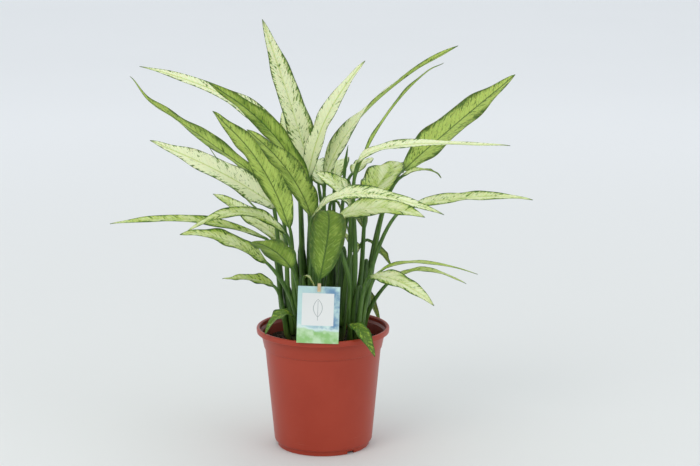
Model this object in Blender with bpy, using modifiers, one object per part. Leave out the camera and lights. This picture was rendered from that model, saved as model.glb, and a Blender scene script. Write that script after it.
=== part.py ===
"""A potted dieffenbachia: nursery pot, soil, label on a pick, canes and leaves.

Blender 4.5, metres, +Z up. The pot stands on Z = 0 with its axis on the Z axis,
and the label faces -Y. Run with: blender --background --python part.py
"""

import math

import bpy
from mathutils import Matrix, Vector

MM = 0.001
GAP = 0.3 * MM  # between pieces that rest on or in one another

# Pot
POT_HEIGHT = 174 * MM
LIP_RADIUS = 95 * MM
LIP_HEIGHT = 8 * MM
LIP_WIDTH = 5 * MM
LIP_OVERHANG = 6.3 * MM  # past the band below it
BAND_HEIGHT = 21 * MM
BAND_TAPER = 4.2 * MM
BAND_STEP = 1.5 * MM  # out from the body
BODY_TAPER = 12.5 * MM
BODY_ROUND = 4 * MM  # where the body turns in to the foot
FOOT_HEIGHT = 7 * MM
FOOT_INSET = 4.5 * MM
FOOT_WALL = 4 * MM
FOOT_DRAFT = 0.6 * MM
BAND_TOP_RADIUS = LIP_RADIUS - LIP_OVERHANG
BAND_FOOT_RADIUS = BAND_TOP_RADIUS - BAND_TAPER
BODY_TOP_RADIUS = BAND_FOOT_RADIUS - BAND_STEP
BODY_FOOT_RADIUS = BODY_TOP_RADIUS - BODY_TAPER
FOOT_RADIUS = BODY_FOOT_RADIUS - FOOT_INSET
POT_WALL = 1.4 * MM
FLOOR_THICKNESS = 2 * MM
DRAIN_COUNT = 8
DRAIN_RADIUS = 5 * MM
DRAIN_INSET = 18 * MM  # of the holes' circle from the foot's outside
DRAIN_TURN = math.radians(8)
NOTCH_COUNT = 3
NOTCH_TURN = math.radians(67)
NOTCH_WIDTH = 12 * MM
NOTCH_HEIGHT = 4 * MM
POT_STEPS = 48

# Soil
SOIL_DROP = 22 * MM  # below the lip
SOIL_LEVEL = POT_HEIGHT - SOIL_DROP
SOIL_MOUND = 4 * MM
SOIL_ROUND = 2 * MM
SOIL_STEPS = 32
PLANTING_DEPTH = 30 * MM

# Label
CARD_WIDTH = 58 * MM
CARD_HEIGHT = 79 * MM
CARD_THICKNESS = 0.6 * MM
CARD_X = -5 * MM
CARD_DROP = 1 * MM  # of its foot below the top of the lip
CARD_CLEAR = 1.5 * MM  # out from the lip
CARD_LEAN = math.radians(6)
CARD_ROLL = math.radians(2)
PICK_WIDTH = 4.5 * MM
PICK_THICKNESS = 3 * MM
PICK_TIP_WIDTH = 1.6 * MM
PICK_HOOK = 7 * MM  # below the card's top edge
PICK_OVER = 4 * MM  # above it
PICK_POINT = 15 * MM
PICK_INSET = 23 * MM  # from the outside of the lip to its foot
PICK_DEPTH = 40 * MM

# Stems and leaves
CANE_FOOT_RADIUS = 8 * MM
CANE_TOP_RADIUS = 6.5 * MM
PETIOLE_FOOT_RADIUS = 3.8 * MM
PETIOLE_TOP_RADIUS = 2.1 * MM
PETIOLE_RISE = 0.35
PETIOLE_BEND = 0.2
BLADE_THICKNESS = 1.6 * MM
TIP_RADIUS = 0.5 * MM
NECK_SHARE = 0.25  # of the blade's length, over which the petiole flattens into it
RING_POINTS = 8
PETIOLE_STATIONS = 6
BLADE_STATIONS = 9
FOLD = math.radians(16)
LEVEL = Vector((1, 0, 0))  # the side direction of what has no heading of its own

def past_lip(degrees, out, rise):
    """A place in millimetres this far out from the pot's lip, at this height above the soil."""
    radius = LIP_RADIUS / MM + out
    angle = math.radians(degrees)
    return radius * math.cos(angle), radius * math.sin(angle), rise


# Heights below are above the soil. Each cane in millimetres: its foot and its top.
CANES = {
    "left": ((-42, 0, 0), (-53, 2, 86)),
    "left_back": ((-24, 34, 0), (-32, 44, 133)),
    "left_front": ((-22, -34, 0), (-30, -46, 103)),
    "front": ((8, -48, 0), (6, -62, 73)),
    "middle": ((-4, 4, 0), (-6, 6, 158)),
    "right_middle": ((22, -6, 0), (30, -6, 136)),
    "right_front": ((40, -30, 0), (52, -38, 88)),
    "right": ((46, 16, 0), (62, 20, 113)),
    "back": ((14, 42, 0), (17, 54, 110)),
}

# Each leaf in millimetres: its cane, the height of its foot above the soil, where its
# blade starts, passes and ends, the blade's width, and its roll at the start and the
# end of the blade in degrees.
LEAVES = {
    "far_left_top": ("left_back", 70, (-44, 20, 264), (-120, 45, 336), (-260, 50, 388), 36, -45, -20),
    "left_green": ("middle", 90, (-18, -10, 220), (-77, -15, 310), (-156, -25, 370), 40, 40, 60),
    "left_long": ("left", 80, (-88, 26, 231), (-182, 28, 298), (-270, 20, 360), 36, 50, 20),
    "front_left_high": ("left_front", 85, (-45, -56, 176), (-86, -84, 273), (-143, -130, 342), 50, 20, 30),
    "front_mid_high": ("left_front", 65, (-14, -62, 193), (-46, -120, 268), (-95, -180, 328), 50, 0, 15),
    "left_cream": ("left", 55, (-64, -24, 198), (-140, -60, 254), (-233, -75, 298), 46, -50, -40),
    "left_edge": ("left_back", 92, (-66, 28, 166), (-113, 26, 206), (-161, 20, 280), 14, 0, 0),
    "left_back_low": ("left_back", 33, (-58, 54, 131), (-107, 86, 165), (-165, 130, 192), 38, -15, -15),
    "far_left": ("left", 52, (-82, -6, 151), (-188, 0, 176), (-301, 0, 168), 22, -20, -30),
    "left_arch": ("left_front", 64, (-52, -42, 164), (-113, -50, 196), (-187, -65, 170), 26, -30, -30),
    "left_low": ("left_front", 43, (-78, -54, 126), (-132, -75, 162), (-193, -95, 176), 38, -35, -20),
    "front_left_grey": ("left_front", 40, (-42, -84, 126), (-67, -130, 161), (-93, -185, 181), 46, 20, 20),
    "low_left": ("left", 15, (-70, -16, 84), (-104, -4, 92), (-144, 10, 86), 26, -20, -10),
    "card_back": ("front", 30, (-24, -66, 108), (-17, -69, 106), (-9, -67, 88), 14, 0, 0),
    "in_pot": ("left_front", 5, (-42, -55, 50), (-60, -62, 52), (-80, -66, 28), 30, -10, -10),
    "front_centre": ("front", 35, (-3, -76, 108), (10, -118, 188), (6, -186, 222), 52, -10, 0),
    "cream_arch": ("front", 60, (-12, -72, 194), (52, -128, 236), (163, -155, 210), 34, 30, 20),
    "under_arch": ("right_front", 70, (20, -44, 186), (76, -72, 206), (141, -85, 197), 42, 35, 30),
    "small_hang": ("back", 85, (44, 20, 193), (52, 46, 174), (60, 76, 148), 28, 0, 0),
    "round_back": ("right", 85, (66, 6, 204), (90, 50, 233), (106, 100, 242), 62, 0, 0),
    "right_big": ("right", 77, (115, 75, 235), (193, 75, 304), (274, 60, 374), 58, -50, -50),
    "right_small": ("right", 22, (113, 38, 232), (145, 60, 238), (171, 72, 226), 22, 0, 0),
    "far_right": ("right_front", 40, (120, 0, 194), (207, -5, 209), (295, -15, 208), 28, 25, 20),
    "right_thin": ("right_front", 80, (50, -27, 262), (112, -37, 288), (259, -45, 286), 26, 25, 15),
    "right_narrow": ("right_middle", 95, (48, 0, 245), (100, 13, 336), (170, 20, 401), 22, -20, -20),
    "cream_right": ("middle", 120, (4, 13, 230), (62, 24, 328), (190, 25, 422), 46, 45, -40),
    "cream_up": ("middle", 135, (-20, 8, 233), (5, 24, 317), (60, 44, 396), 36, 20, 20),
    "top": ("left_back", 100, (-19, 44, 240), (-47, 53, 336), (-86, 66, 451), 48, -30, -40),
    "back_a": ("back", 100, (-7, 64, 217), (-14, 110, 241), (-24, 170, 221), 40, 0, 0),
    "back_b": ("back", 70, (16, 84, 217), (20, 130, 240), (26, 190, 220), 40, 0, 0),
    "back_c": ("back", 80, (42, 88, 228), (58, 104, 240), (72, 130, 243), 30, 0, 0),
    "inner": ("middle", 110, (0, 34, 220), (-7, 54, 230), (-16, 80, 236), 24, 0, 0),
    "right_low": ("right_front", 25, (68, -62, 108), (107, -95, 107), (153, -115, 81), 32, 25, 25),
    "right_thin_high": ("right_front", 36, (78, -46, 109), (129, -50, 125), (216, -57, 111), 14, 10, 10),
    "right_thin_low": ("right", 20, (96, 0, 87), (145, 5, 102), (204, 0, 81), 18, 10, 10),
    "right_back": ("back", 45, (66, 52, 136), (80, 66, 120), (100, 90, 88), 24, 0, 0),
    "over_back": (
        "right", 12,
        past_lip(47, -19, 68), past_lip(51, 10, 46), past_lip(53, 44, -1),
        20, 0, 0,
    ),
    "over_front": (
        "right_front", 8,
        past_lip(-55, -25, 38), past_lip(-56, 4, 33), past_lip(-55, 32, 4),
        24, 10, 10,
    ),
    "mid_small": ("right_middle", 45, (46, 16, 124), (41, 30, 138), (30, 50, 146), 18, 0, 0),
    "behind_top": ("left_back", 85, (-36, 76, 228), (-47, 98, 276), (-60, 120, 316), 38, -20, -20),
    "centre_hang": ("right_middle", 75, (18, 34, 197), (26, 36, 183), (38, 38, 145), 24, 0, 0),
    "centre_fold": ("right_middle", 70, (41, -22, 200), (22, -28, 229), (-9, -30, 247), 38, -40, -50),
}

SPEAR = ("right_middle", 130, (30, 2, 224), (32, 0, 255), (36, -4, 283))
SPEAR_RADIUS = 3 * MM


def clear_scene():
    for old in list(bpy.data.objects):
        bpy.data.objects.remove(old, do_unlink=True)


def new_collection(name):
    collection = bpy.data.collections.new(name)
    bpy.context.scene.collection.children.link(collection)
    return collection


def material(name, colour, roughness, metallic=0.0):
    made = bpy.data.materials.new(name)
    made.use_nodes = True
    shader = made.node_tree.nodes["Principled BSDF"]
    shader.inputs["Base Color"].default_value = (*colour, 1)
    shader.inputs["Roughness"].default_value = roughness
    shader.inputs["Metallic"].default_value = metallic
    made.diffuse_color = (*colour, 1)
    return made


def add_object(name, points, faces, collection, surface=None):
    mesh = bpy.data.meshes.new(name)
    mesh.from_pydata(points, [], faces)
    mesh.update()
    made = bpy.data.objects.new(name, mesh)
    collection.objects.link(made)
    if surface:
        mesh.materials.append(surface)
    return made


def lathe(name, outline, steps, collection, surface):
    """A closed outline of (radius, height) points in the XZ plane, turned about Z."""
    points = [(radius, 0, height) for radius, height in outline]
    pairs = [(i, (i + 1) % len(points)) for i in range(len(points))]
    edges = [(i, j) for i, j in pairs if outline[i][0] + outline[j][0] > 0]
    mesh = bpy.data.meshes.new(name)
    mesh.from_pydata(points, edges, [])
    mesh.materials.append(surface)
    made = bpy.data.objects.new(name, mesh)
    collection.objects.link(made)
    turn = made.modifiers.new("Screw", "SCREW")
    turn.steps = turn.render_steps = steps
    turn.use_merge_vertices = True
    turn.merge_threshold = 0.00001
    turn.use_normal_calculate = True
    return made


def box(name, size, matrix, collection, surface=None):
    """A box with its middle at the matrix's origin."""
    corners = [(x, y, z) for x in (-0.5, 0.5) for y in (-0.5, 0.5) for z in (-0.5, 0.5)]
    points = [matrix @ Vector([c * s for c, s in zip(corner, size)]) for corner in corners]
    faces = [(0, 1, 3, 2), (4, 6, 7, 5), (0, 4, 5, 1), (2, 3, 7, 6), (0, 2, 6, 4), (1, 5, 7, 3)]
    return add_object(name, points, faces, collection, surface)


def cut(target, cutter, operation="DIFFERENCE"):
    cutter.hide_render = True
    cutter.display_type = "WIRE"
    boolean = target.modifiers.new(cutter.name, "BOOLEAN")
    boolean.operation = operation
    boolean.solver = "EXACT"
    boolean.object = cutter


def loft(name, rings, collection, surface=None):
    """One closed solid through rings of equal point counts, with a flat cap at each end."""
    size = len(rings[0])
    points = [point for ring in rings for point in ring]
    faces = [tuple(range(size))]
    for start in range(0, (len(rings) - 1) * size, size):
        for i in range(size):
            j = (i + 1) % size
            faces.append((start + j, start + i, start + size + i, start + size + j))
    faces.append(tuple(range(len(points) - 1, len(points) - size - 1, -1)))
    return add_object(name, points, faces, collection, surface)


def side_of(start, end):
    """The level direction square to the way a leaf heads, which steadies its rings."""
    heading = end - start
    return Vector((heading.y, -heading.x, 0)).normalized()


def ring_at(centre, tangent, half_width, half_thickness, level=LEVEL, fold=0.0, roll=0.0):
    """An oval of points about a station; fold lifts its two edges into a V."""
    side = (level - tangent * level.dot(tangent)).normalized()
    side = Matrix.Rotation(roll, 3, tangent) @ side
    upper = side.cross(tangent)
    ring = []
    for k in range(RING_POINTS):
        angle = 2 * math.pi * k / RING_POINTS
        across = half_width * math.cos(angle)
        lift = half_thickness * math.sin(angle) + abs(across) * math.tan(fold)
        ring.append(centre + side * across + upper * lift)
    return ring


def above_soil(place):
    return Vector(place) * MM + Vector((0, 0, SOIL_LEVEL))


def cane_line(cane):
    foot, top = CANES[cane]
    return above_soil(foot), above_soil(top)


def petiole_foot(cane, height, toward):
    """Where a petiole leaves its cane's side, and the cane's direction there."""
    foot, top = cane_line(cane)
    along = (top - foot).normalized()
    share = min(height * MM / (top.z - foot.z), 1)
    centre = foot.lerp(top, share)
    outward = toward - centre
    outward -= along * outward.dot(along)
    radius = CANE_FOOT_RADIUS + (CANE_TOP_RADIUS - CANE_FOOT_RADIUS) * share
    return centre + outward.normalized() * (radius + PETIOLE_FOOT_RADIUS + GAP), along


def bezier(points, t):
    """A point on a Bezier curve and its direction, for three or four control points."""
    direction = None
    while len(points) > 1:
        if len(points) == 2:
            direction = (points[1] - points[0]).normalized()
        points = [a.lerp(b, t) for a, b in zip(points, points[1:])]
    return points[0], direction


def leaf_curves(cane, height, start, middle, end):
    """The control points of the petiole and of the blade, which meet in one direction."""
    start, middle, end = (above_soil(place) for place in (start, middle, end))
    bend = middle * 2 - (start + end) / 2
    foot, along = petiole_foot(cane, height, start)
    reach = (start - foot).length
    leaving = (bend - start).normalized()
    petiole = [foot, foot + along * reach * PETIOLE_RISE, start - leaving * reach * PETIOLE_BEND, start]
    return petiole, [start, bend, end]


def blade_profile(t):
    """Share of the full width along a lance-shaped blade with a drawn-out tip."""
    return math.sin(math.pi * t**0.78) ** 0.7 * (1 - 0.2 * t)


def leaf(name, row, collection, surface):
    cane_key, height, start, middle, end, width, start_roll, end_roll = row
    petiole, blade = leaf_curves(cane_key, height, start, middle, end)
    level = side_of(blade[0], blade[-1])
    rings = []
    for i in range(PETIOLE_STATIONS):
        t = i / PETIOLE_STATIONS
        centre, tangent = bezier(petiole, t)
        radius = PETIOLE_FOOT_RADIUS + (PETIOLE_TOP_RADIUS - PETIOLE_FOOT_RADIUS) * t
        roll = math.radians(start_roll) * t
        rings.append(ring_at(centre, tangent, radius, radius, level, 0, roll))
    for i in range(BLADE_STATIONS + 1):
        t = i / BLADE_STATIONS
        centre, tangent = bezier(blade, t)
        neck = PETIOLE_TOP_RADIUS * (1 - t / NECK_SHARE)
        half_width = max(width / 2 * MM * blade_profile(t), neck, TIP_RADIUS)
        half_thickness = max(BLADE_THICKNESS / 2 * (1 - 0.4 * t), neck)
        roll = math.radians(start_roll + (end_roll - start_roll) * t)
        fold = FOLD * min(1, t / NECK_SHARE)
        rings.append(ring_at(centre, tangent, half_width, half_thickness, level, fold, roll))
    return loft(name, rings, collection, surface)


def cane_section(key, share, grow=0.0):
    """A ring about a cane at this share of the way from the soil to its top."""
    foot, top = cane_line(key)
    radius = CANE_FOOT_RADIUS + (CANE_TOP_RADIUS - CANE_FOOT_RADIUS) * max(share, 0) + grow
    return ring_at(foot.lerp(top, share), (top - foot).normalized(), radius, radius)


def cane(name, key, collection, surface):
    foot, top = cane_line(key)
    along = (top - foot).normalized()
    planted = -PLANTING_DEPTH / (top - foot).length
    rings = [cane_section(key, share) for share in (planted, 0, 0.5, 1)]
    crown = CANE_TOP_RADIUS * 0.6
    rings.append(ring_at(top + along * CANE_TOP_RADIUS * 0.3, along, crown, crown))
    return loft(name, rings, collection, surface)


def cane_cutter(key, collection):
    foot, top = cane_line(key)
    length = (top - foot).length
    low = -(PLANTING_DEPTH + GAP) / length
    high = PLANTING_DEPTH / length
    rings = [cane_section(key, share, GAP) for share in (low, 0, high)]
    return loft("hole_" + key, rings, collection)


def spear(collection, surface):
    petiole, blade = leaf_curves(*SPEAR)
    rings = []
    for i in range(PETIOLE_STATIONS):
        centre, tangent = bezier(petiole, i / PETIOLE_STATIONS)
        rings.append(ring_at(centre, tangent, PETIOLE_TOP_RADIUS, PETIOLE_TOP_RADIUS))
    for i in range(BLADE_STATIONS + 1):
        t = i / BLADE_STATIONS
        centre, tangent = bezier(blade, t)
        swell = (SPEAR_RADIUS - PETIOLE_TOP_RADIUS) * math.sin(math.pi * t)
        radius = PETIOLE_TOP_RADIUS + (TIP_RADIUS - PETIOLE_TOP_RADIUS) * t**2 + swell
        rings.append(ring_at(centre, tangent, radius, radius))
    return loft("leaf_spear", rings, collection, surface)


def pot(collection, cutters, surface):
    inner = POT_WALL
    lip_foot = POT_HEIGHT - LIP_HEIGHT
    band_foot = lip_foot - BAND_HEIGHT
    lip_inner = LIP_RADIUS - LIP_WIDTH
    arc = LIP_WIDTH / 2
    lip = [
        (LIP_RADIUS - arc + arc * math.cos(math.radians(a)), POT_HEIGHT - arc + arc * math.sin(math.radians(a)))
        for a in range(0, 181, 30)
    ]
    outline = [
        (FOOT_RADIUS - FOOT_WALL, 0),
        (FOOT_RADIUS, 0),
        (FOOT_RADIUS + FOOT_DRAFT, FOOT_HEIGHT),
        (BODY_FOOT_RADIUS - 2.5 * MM, FOOT_HEIGHT),
        (BODY_FOOT_RADIUS - 0.8 * MM, FOOT_HEIGHT + 1.2 * MM),
        (BODY_FOOT_RADIUS, FOOT_HEIGHT + BODY_ROUND),
        (BODY_TOP_RADIUS, band_foot - 1 * MM),
        (BAND_FOOT_RADIUS, band_foot),
        (BAND_TOP_RADIUS, lip_foot - 1 * MM),
        (BAND_TOP_RADIUS + 1 * MM, lip_foot),
        (LIP_RADIUS - 0.6 * MM, lip_foot),
        *lip,
        (lip_inner, lip_foot + 1.5 * MM),
        (BAND_TOP_RADIUS - inner, lip_foot - 2 * MM),
        (BAND_FOOT_RADIUS - inner, band_foot),
        (BODY_TOP_RADIUS - inner, band_foot - 1.5 * MM),
        (BODY_FOOT_RADIUS - inner, FOOT_HEIGHT + FLOOR_THICKNESS + BODY_ROUND),
        (BODY_FOOT_RADIUS - inner - 3 * MM, FOOT_HEIGHT + FLOOR_THICKNESS),
        (0, FOOT_HEIGHT + FLOOR_THICKNESS),
        (0, FOOT_HEIGHT),
        (FOOT_RADIUS - FOOT_WALL - FOOT_DRAFT, FOOT_HEIGHT),
    ]
    made = lathe("pot", outline, POT_STEPS, collection, surface)
    for i in range(DRAIN_COUNT):
        angle = 2 * math.pi * i / DRAIN_COUNT + DRAIN_TURN
        centre = Vector((math.cos(angle), math.sin(angle), 0)) * (FOOT_RADIUS - DRAIN_INSET)
        low = centre + Vector((0, 0, FOOT_HEIGHT - 2 * MM))
        high = centre + Vector((0, 0, FOOT_HEIGHT + FLOOR_THICKNESS + 2 * MM))
        up = Vector((0, 0, 1))
        rings = [ring_at(p, up, DRAIN_RADIUS, DRAIN_RADIUS) for p in (low, high)]
        cut(made, loft(f"drain_{i}", rings, cutters))
    for i in range(NOTCH_COUNT):
        angle = 2 * math.pi * i / NOTCH_COUNT + NOTCH_TURN
        place = Matrix.Rotation(angle, 4, "Z") @ Matrix.Translation((FOOT_RADIUS - FOOT_WALL / 2, 0, 0))
        size = (FOOT_WALL * 3, NOTCH_WIDTH, NOTCH_HEIGHT * 2)
        cut(made, box(f"notch_{i}", size, place, cutters))
    return made


def soil(collection, cutters, surface):
    inner = POT_WALL + GAP
    band_foot = POT_HEIGHT - LIP_HEIGHT - BAND_HEIGHT
    share = (SOIL_LEVEL - band_foot) / BAND_HEIGHT
    edge = BAND_FOOT_RADIUS + (BAND_TOP_RADIUS - BAND_FOOT_RADIUS) * share - inner - 0.5 * MM
    floor = FOOT_HEIGHT + FLOOR_THICKNESS + GAP
    outline = [
        (0, floor),
        (BODY_FOOT_RADIUS - inner - 3.4 * MM, floor),
        (BODY_FOOT_RADIUS - inner - 0.4 * MM, floor + BODY_ROUND),
        (BODY_TOP_RADIUS - inner - 0.4 * MM, band_foot - 2 * MM),
        (BAND_FOOT_RADIUS - inner - 0.6 * MM, band_foot),
        (edge - 0.3 * MM, SOIL_LEVEL - SOIL_ROUND),
        (edge * 0.7, SOIL_LEVEL),
        (edge * 0.35, SOIL_LEVEL + SOIL_MOUND * 0.7),
        (0, SOIL_LEVEL + SOIL_MOUND),
    ]
    made = lathe("soil", outline, SOIL_STEPS, collection, surface)
    for key in CANES:
        cut(made, cane_cutter(key, cutters))
    return made


def card_matrix():
    """The label card's own frame: its middle, width along X, height along Z."""
    middle_z = POT_HEIGHT - CARD_DROP + CARD_HEIGHT / 2 * math.cos(CARD_LEAN)
    bottom_y = -(LIP_RADIUS + CARD_CLEAR)
    middle_y = bottom_y + CARD_HEIGHT / 2 * math.sin(CARD_LEAN)
    turn = Matrix.Rotation(-CARD_LEAN, 4, "X") @ Matrix.Rotation(CARD_ROLL, 4, "Y")
    return Matrix.Translation((CARD_X, middle_y, middle_z)) @ turn


def pick_ring(centre, along, wide, deep, grow=0.0):
    """A rectangle across the pick, with its width along X."""
    across = Vector((1, 0, 0))
    depth = across.cross(along).normalized()
    return [
        centre + across * x * (wide / 2 + grow) + depth * y * (deep / 2 + grow)
        for x, y in ((-1, -1), (1, -1), (1, 1), (-1, 1))
    ]


def pick_rings(foot, head, grow=0.0):
    along = (head - foot).normalized()
    return [
        pick_ring(foot - along * grow, along, PICK_TIP_WIDTH, PICK_TIP_WIDTH, grow),
        pick_ring(foot + along * PICK_POINT, along, PICK_WIDTH, PICK_THICKNESS, grow),
        pick_ring(head, along, PICK_WIDTH, PICK_THICKNESS, grow),
    ]


def label(collection, cutters, card_surface, pick_surface, ground):
    """The card, and the pick whose hooked head goes over the card's top edge."""
    place = card_matrix()
    box("label_card", (CARD_WIDTH, CARD_THICKNESS, CARD_HEIGHT), place, collection, card_surface)
    card_top = CARD_HEIGHT / 2
    behind = CARD_THICKNESS / 2 + GAP + PICK_THICKNESS / 2
    head = place @ Vector((0, behind, card_top + PICK_OVER / 2))
    foot = Vector((CARD_X, PICK_INSET - LIP_RADIUS, SOIL_LEVEL - PICK_DEPTH))
    stick = loft("label_pick", pick_rings(foot, head), collection, pick_surface)
    hook = place @ Matrix.Translation((0, 0, card_top + (PICK_OVER - PICK_HOOK) / 2))
    hook_size = (PICK_WIDTH, PICK_THICKNESS * 2 + CARD_THICKNESS, PICK_HOOK + PICK_OVER)
    cut(stick, box("pick_hook", hook_size, hook, cutters), "UNION")
    slot_size = (PICK_WIDTH * 2, CARD_THICKNESS + 2 * GAP, CARD_HEIGHT + 2 * GAP)
    cut(stick, box("pick_slot", slot_size, place, cutters))
    cut(ground, loft("pick_hole", pick_rings(foot, head, GAP), cutters))


def main():
    clear_scene()
    parts = new_collection("potted_dieffenbachia")
    cutters = new_collection("cutters")
    terracotta = material("pot_plastic", (0.34, 0.055, 0.03), 0.38)
    earth = material("potting_soil", (0.035, 0.022, 0.014), 0.95)
    card = material("label_card", (0.62, 0.78, 0.74), 0.5)
    bamboo = material("label_pick", (0.62, 0.43, 0.25), 0.6)
    stem = material("stem_green", (0.07, 0.17, 0.035), 0.45)
    green = material("leaf_green", (0.3, 0.48, 0.12), 0.42)
    pot(parts, cutters, terracotta)
    ground = soil(parts, cutters, earth)
    label(parts, cutters, card, bamboo, ground)
    for key in CANES:
        cane("cane_" + key, key, parts, stem)
    for key, row in LEAVES.items():
        leaf("leaf_" + key, row, parts, green)
    spear(parts, green)


main()
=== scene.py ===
"""The finished look of the potted dieffenbachia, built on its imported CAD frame.

Metres, +Z up, the label facing -Y. The routes repeat those of the CAD source: they are in
millimetres, with heights above the soil.
"""

import math

import bpy
import numpy as np
from mathutils import Matrix, Vector, noise


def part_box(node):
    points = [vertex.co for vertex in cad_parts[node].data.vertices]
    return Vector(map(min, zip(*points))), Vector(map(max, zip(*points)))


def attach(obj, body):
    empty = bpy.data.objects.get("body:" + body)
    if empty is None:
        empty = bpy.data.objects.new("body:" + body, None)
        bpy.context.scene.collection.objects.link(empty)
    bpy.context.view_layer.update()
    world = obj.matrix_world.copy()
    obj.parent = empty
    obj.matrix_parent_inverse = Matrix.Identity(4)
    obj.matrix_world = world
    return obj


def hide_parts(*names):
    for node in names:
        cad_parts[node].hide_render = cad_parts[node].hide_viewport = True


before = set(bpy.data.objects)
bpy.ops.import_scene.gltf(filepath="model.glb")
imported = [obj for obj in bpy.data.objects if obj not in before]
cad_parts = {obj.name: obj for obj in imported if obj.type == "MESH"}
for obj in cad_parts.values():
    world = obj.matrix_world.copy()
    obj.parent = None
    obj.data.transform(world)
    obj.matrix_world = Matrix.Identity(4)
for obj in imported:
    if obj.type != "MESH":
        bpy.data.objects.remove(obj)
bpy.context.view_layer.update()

MM = 0.001
RANDOM = np.random.default_rng(7)

# ---------------------------------------------------------------- routes and sizes

SOIL_MOUND = 4 * MM
SOIL_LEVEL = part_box("soil")[1][2] - SOIL_MOUND
LIP_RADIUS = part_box("pot")[1][0]
LIP_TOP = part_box("pot")[1][2]
CANE_FOOT_RADIUS = 8 * MM
CANE_TOP_RADIUS = 6.5 * MM
PETIOLE_FOOT_RADIUS = 3.8 * MM
PETIOLE_TOP_RADIUS = 2.1 * MM
PETIOLE_RISE = 0.35
PETIOLE_BEND = 0.2
GAP = 0.3 * MM
LEAF_THICKNESS = 0.7 * MM
NECK_SHARE = 0.16
FOLD = math.radians(16)
FOLD_EASE = 0.25  # share by which the fold flattens towards the margin
QUILT_SPACING = 14 * MM  # between the swellings along a blade
QUILT_HEIGHT = 0.35 * MM
SHEATH_RUN = 46 * MM
SHEATH_STATIONS = 6
PETIOLE_STATIONS = 16
BLADE_STATIONS = 52
HALF_RING = 18  # ring points on each face of a leaf
CANE_STATIONS = 46
CANE_SIDES = 28
CANE_SINK = 20 * MM  # below the soil
CANE_END = 1.02  # share of the cane's length where its blunt top closes
CANE_RING_SPACING = 24 * MM
FLECK_SEEDS = 17.3  # keeps each leaf's pattern apart from the next one's
TIP_CURLS = {"left_long": 17, "front_left_high": 5, "right_narrow": -5}  # in millimetres, up


def past_lip(degrees, out, rise):
    """A place in millimetres this far out from the pot's lip, at this height above the soil."""
    radius = LIP_RADIUS / MM + out
    angle = math.radians(degrees)
    return radius * math.cos(angle), radius * math.sin(angle), rise


# Each cane: its foot at the soil and its top.
CANES = {
    "left": ((-42, 0, 0), (-53, 2, 86)),
    "left_back": ((-24, 34, 0), (-32, 44, 133)),
    "left_front": ((-22, -34, 0), (-30, -46, 103)),
    "front": ((8, -48, 0), (6, -62, 73)),
    "middle": ((-4, 4, 0), (-6, 6, 158)),
    "right_middle": ((22, -6, 0), (30, -6, 136)),
    "right_front": ((40, -30, 0), (52, -38, 88)),
    "right": ((46, 16, 0), (62, 20, 113)),
    "back": ((14, 42, 0), (17, 54, 110)),
}

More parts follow.
